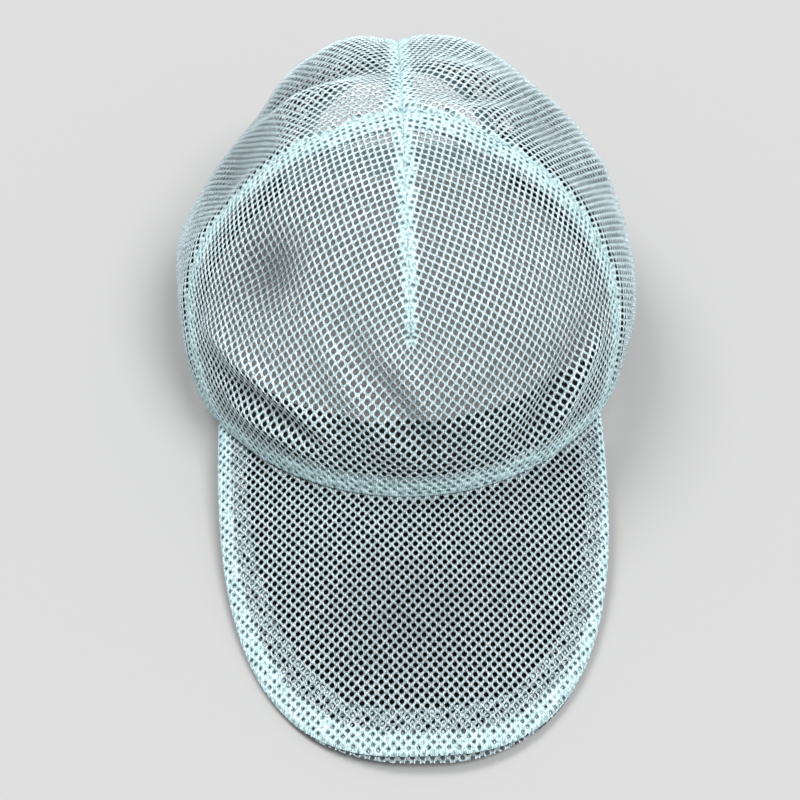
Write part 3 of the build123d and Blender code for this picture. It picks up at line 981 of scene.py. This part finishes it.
def brim_shade_and_edge(flat):
    """Painted shade held in the colour: the whole brim a little darker and its middle darker still;
    and the pale doubled edge.
    """
    s, g = flat[:, 0], flat[:, 1]
    tone = 1 - 0.30 * np.exp(-((s + 4) / 26) ** 2 - ((g - 48) / 24) ** 2)
    tone *= 1 - 0.12 * np.exp(-((s - 30) / 14) ** 2 - ((g - 30) / 20) ** 2)
    edge = np.clip((brim_band(flat) - from_free_edge(flat)) / 1.2, 0, 1)
    return 0.76 * tone * (1 - edge) + 0.90 * edge, edge


def brim_band(flat):
    """Width of the pale band inside the brim's edge: widest at the front."""
    return 5.2 + 2.8 * np.clip(flat[:, 1] / 80, 0, 1) ** 2 - 0.018 * flat[:, 0]


def brim_hole_size(flat):
    reach = from_free_edge(flat)
    size = band_hole_size(1 - reach / brim_band(flat), 47)
    return np.where(reach < 2.4, 0.62, size)


knit("brim_top_mesh", OUT, top_place, KNIT, thick=BRIM_HALF_THICK, shift=(1.3, 0.4),
     tone_of=brim_shade_and_edge, size_of=brim_hole_size, stands_for=("brim_upper_cover",), slot="mesh")
UNDER = brim_outline(0.0, front_extra=2.4)


def under_place(flat, lift):
    """The lower cover, which turns up at its edge and shows below the front."""
    sd = distance_to_line(flat, UNDER[:EDGE_POINTS])[0]
    lip = np.clip(1 - sd / BRIM_LIP, 0, 1) ** 2
    return brim_point(flat, UNDER_DEPTH + lift - 0.9 * lip)


knit("brim_under_mesh", UNDER, under_place, KNIT_UNDER, segs=8, turn=0.03, shift=(0.4, 1.1),
     flip=True, hole_test=lambda flat: signed_distance(flat, UNDER)[0] > 4.5,
     stands_for=("brim_lower_cover",), slot="mesh")


def brim_ring(inner):
    """Outline of the turned-in allowance: the brim's edge and a raw inner edge."""
    edge = brim_outline(0.35, 160)[:160]
    raw = brim_outline(inner, 160)[:160]
    wander = np.cumsum(rng.standard_normal((160, 1)) * 0.35, axis=0)
    wander -= np.linspace(0, 1, 160)[:, None] * wander[-1]
    inward = unit(raw - edge)
    front = np.clip(raw[:, 1:] / 70, 0, 1) ** 2
    raw = raw + inward * (wander + 4.5 * front)
    return np.vstack([edge, raw[::-1]])


def allowance_place(flat, lift):
    return brim_point(flat, ALLOWANCE_DEPTH - 0.5 * lift)


def allowance_holes(flat):
    return from_free_edge(flat) > 8.0 + 1.2 * np.sin(flat[:, 0] * 0.7) * np.sin(flat[:, 1] * 0.9)


knit("brim_allowance", brim_ring(11.5), allowance_place, KNIT_UNDER, segs=8, turn=0.35,
     shift=(0.9, 1.9), thick=0.15, hole_r=0.62, hole_test=allowance_holes,
     stands_for=("brim_seam_allowance",), slot="mesh")

# ---- CAD nodes kept as they are ----------------------------------------------------------
for name, mat in (("brim_board", BOARD), ("strap_hole_half", STRAP), ("strap_peg_half", STRAP),
                  ("strap_root_left", STRAP), ("strap_root_right", STRAP)):
    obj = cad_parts[name]
    obj.data.materials.clear()
    obj.data.materials.append(mat)

# ---- stage -------------------------------------------------------------------------------
bpy.ops.mesh.primitive_plane_add(size=80.0, location=(0, 0, -0.0004))
floor = bpy.context.object
floor.name = "floor"
floor_material, _, floor_bsdf = material("floor_pale", 0.9)
floor_bsdf.inputs["Base Color"].default_value = (0.36, 0.36, 0.36, 1)
floor_bsdf.inputs["Specular IOR Level"].default_value = 0.0
floor.data.materials.append(floor_material)

world = bpy.data.worlds.new("studio")
bpy.context.scene.world = world
world.use_nodes = True
background = world.node_tree.nodes["Background"]
background.inputs["Color"].default_value = (1, 1, 1, 1)
background.inputs["Strength"].default_value = 0.70


def soft_lamp(name, come_from, strength):
    """A wide, far light: a pale studio wall, so the floor is lit evenly."""
    data = bpy.data.lights.new(name, "SUN")
    data.angle = math.radians(28)
    data.energy = strength
    lamp = bpy.data.objects.new(name, data)
    bpy.context.scene.collection.objects.link(lamp)
    lamp.rotation_euler = Vector(come_from).to_track_quat("Z", "Y").to_euler()
    return lamp


lamps = [soft_lamp("key", (0.50, -0.45, 1.22), 2.9), soft_lamp("back", (-0.50, 0.45, 1.05), 2.1)]

cam_data = bpy.data.cameras.new("camera")
cam_data.lens = 84.5
cam_data.sensor_width = 36.0
cam = bpy.data.objects.new("camera", cam_data)
bpy.context.scene.collection.objects.link(cam)
cam.location = (-0.0127, -0.4955, 0.5222)
look = Vector((-0.0033, -0.045, 0.0089)) - cam.location
aim = look.to_track_quat("-Z", "Y").to_matrix().to_4x4()
cam.rotation_euler = (aim @ Matrix.Rotation(math.radians(-0.8), 4, "Z")).to_euler()
bpy.context.scene.camera = cam
bpy.context.scene.view_settings.view_transform = "Standard"
